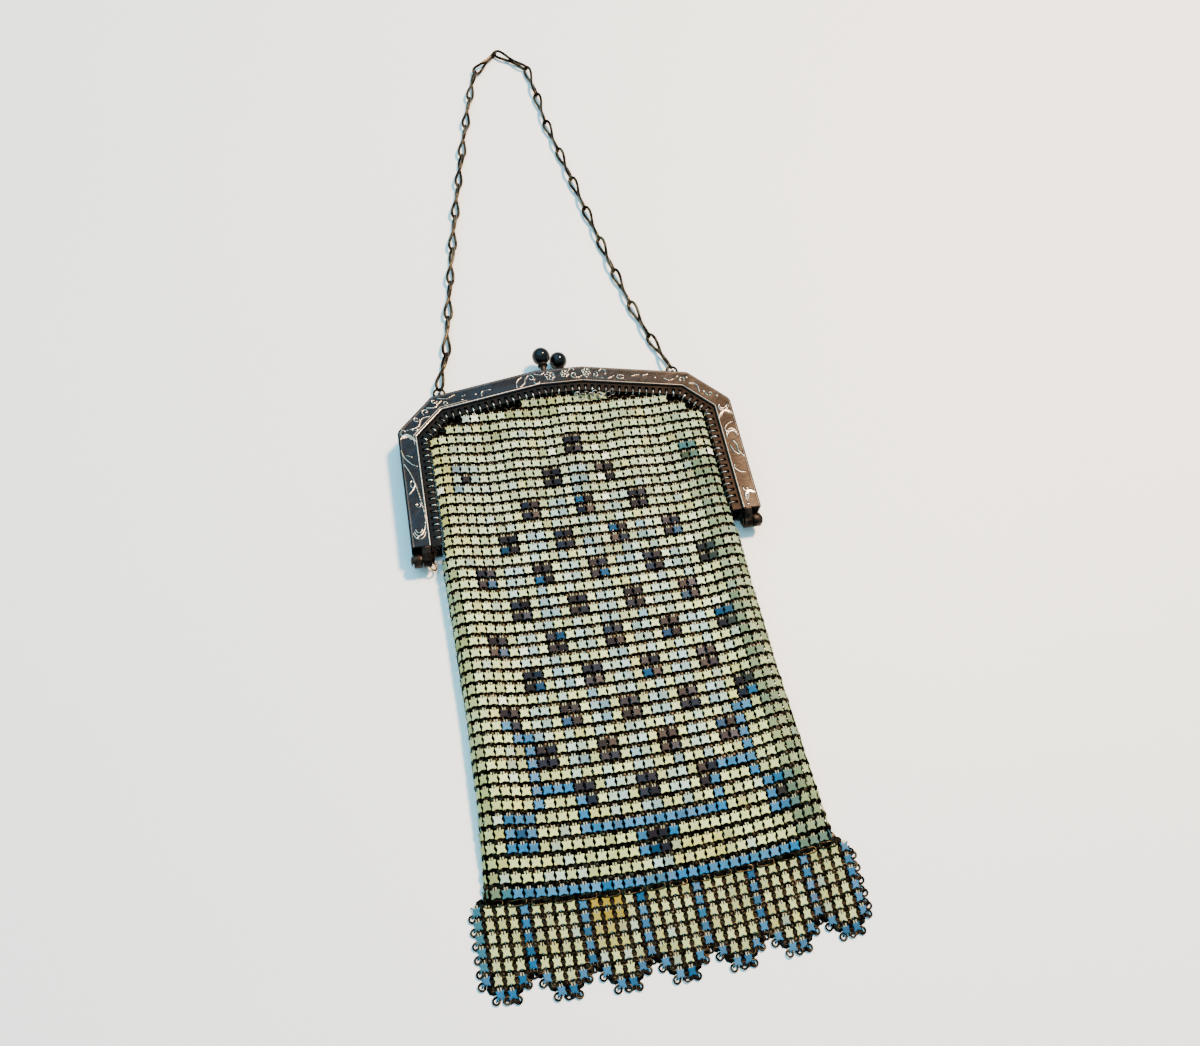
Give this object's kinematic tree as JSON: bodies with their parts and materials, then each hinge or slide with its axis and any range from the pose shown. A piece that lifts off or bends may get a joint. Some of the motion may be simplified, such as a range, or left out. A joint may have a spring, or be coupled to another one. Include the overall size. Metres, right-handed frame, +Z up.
{
  "type": "metal mesh purse",
  "caption": "Flat enamelled metal mesh purse on a stamped arch frame with a two-ball kiss clasp, a link chain and a skirt in stepped points.",
  "frame": {"origin": "on the underside of the pouch's back, below the middle of the frame's width, where the purse rests", "axes": "+X to the right seen from the front, +Y towards the frame and the chain, +Z up out of the front face"},
  "size_m": [0.1206, 0.3874, 0.0104],
  "materials": {
    "frame_metal": "tarnished silver plate, worn bright on the relief",
    "dark_metal": "dark tarnished metal",
    "black_enamel": "glossy black",
    "chain_metal": "dark tarnished brass wire",
    "enamel_mesh": "enamelled star plates on dark wire rings, satin, worn and stained"
  },
  "bodies": {
    "root": {"frame_front": "frame_metal", "frame_back": "frame_metal", "hinge_pin_left": "dark_metal", "hinge_pin_right": "dark_metal", "clasp_post_left": "dark_metal", "clasp_post_right": "dark_metal", "clasp_ball_left": "black_enamel", "clasp_ball_right": "black_enamel", "chain": "chain_metal", "mesh_bag": "enamel_mesh", "skirt": "enamel_mesh"}
  },
  "joints": []
}
